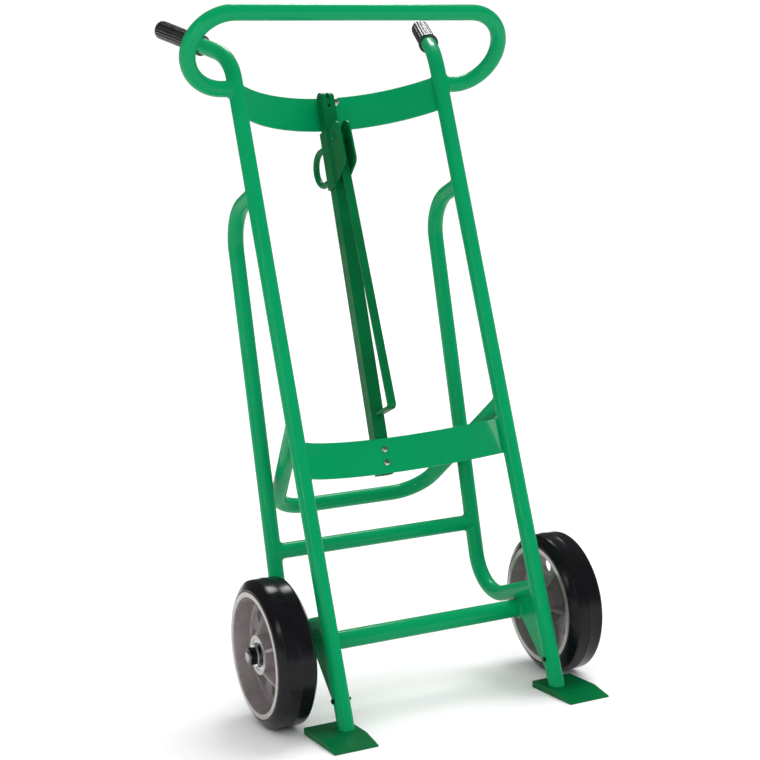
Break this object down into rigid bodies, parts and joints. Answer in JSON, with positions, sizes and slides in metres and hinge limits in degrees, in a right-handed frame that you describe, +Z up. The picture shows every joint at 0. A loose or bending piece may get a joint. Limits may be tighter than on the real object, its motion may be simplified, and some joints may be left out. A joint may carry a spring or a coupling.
{
  "type": "drum dolly",
  "caption": "Tubular steel drum truck with curved drum bands, sliding chime hook, loop handle, handgrips, toe plates and rubber-tyred wheels.",
  "frame": {"origin": "centre of the bounding box's base, on the floor plane that the wheels and toe plates stand on", "axes": "+Z up, +X to the right seen from the drum side, +Y from the drum side towards the user; the drum side faces -Y"},
  "size_m": [0.65, 0.5973, 1.2276],
  "materials": {
    "green_paint": "glossy enamel",
    "dark_green_paint": "satin enamel",
    "grip_rubber": "ribbed, satin",
    "tyre_rubber": "smooth moulded rubber",
    "cast_aluminium": "as cast, with machined edges",
    "zinc_steel": "bright zinc plate",
    "dark_steel": "black oxide"
  },
  "bodies": {
    "frame": {"rail_left": "green_paint", "rail_right": "green_paint", "grip_left": "grip_rubber", "grip_right": "grip_rubber", "loop_handle": "green_paint", "upper_band": "green_paint", "lower_band": "green_paint", "brace_left": "green_paint", "brace_right": "green_paint", "cross_tube": "green_paint", "foot_bar": "green_paint", "axle_tube": "green_paint", "gusset_left": "green_paint", "gusset_right": "green_paint", "toe_left": "dark_green_paint", "toe_right": "dark_green_paint", "toe_bolts": "dark_steel", "axle": "zinc_steel", "axle_spacers": "zinc_steel", "axle_washers": "zinc_steel", "axle_nuts": "dark_steel", "hook_bar": "dark_green_paint", "hook_bar_lug": "dark_green_paint", "hook_bar_bolts": "zinc_steel", "hook_bar_pin": "zinc_steel"},
    "wheel_left": {"rim_left": "cast_aluminium", "tyre_left": "tyre_rubber", "bearings_left": "dark_steel"},
    "wheel_right": {"rim_right": "cast_aluminium", "tyre_right": "tyre_rubber", "bearings_right": "dark_steel"},
    "slider": {"slider_sleeve": "dark_green_paint", "slider_cheeks": "dark_green_paint", "ring_handle": "dark_green_paint", "arm_pin": "zinc_steel"},
    "hook_arm": {"hook_arm": "dark_green_paint"}
  },
  "joints": [
    {"name": "wheel_left_spin", "type": "hinge", "parent": "frame", "child": "wheel_left", "pos_m": [-0.2776, -0.09883, 0.127], "axis": [1, 0, 0], "continuous": true},
    {"name": "wheel_right_spin", "type": "hinge", "parent": "frame", "child": "wheel_right", "pos_m": [0.2776, -0.09883, 0.127], "axis": [1, 0, 0], "continuous": true},
    {"name": "hook_slide", "type": "slide", "parent": "frame", "child": "slider", "axis": [0, 0.2284, 0.9736], "range_m": [-0.035, 0.016]},
    {"name": "hook_arm_swing", "type": "hinge", "parent": "slider", "child": "hook_arm", "pos_m": [0, 0.11807, 0.99622], "axis": [-1, 0, 0], "range_deg": [0, 125]}
  ]
}
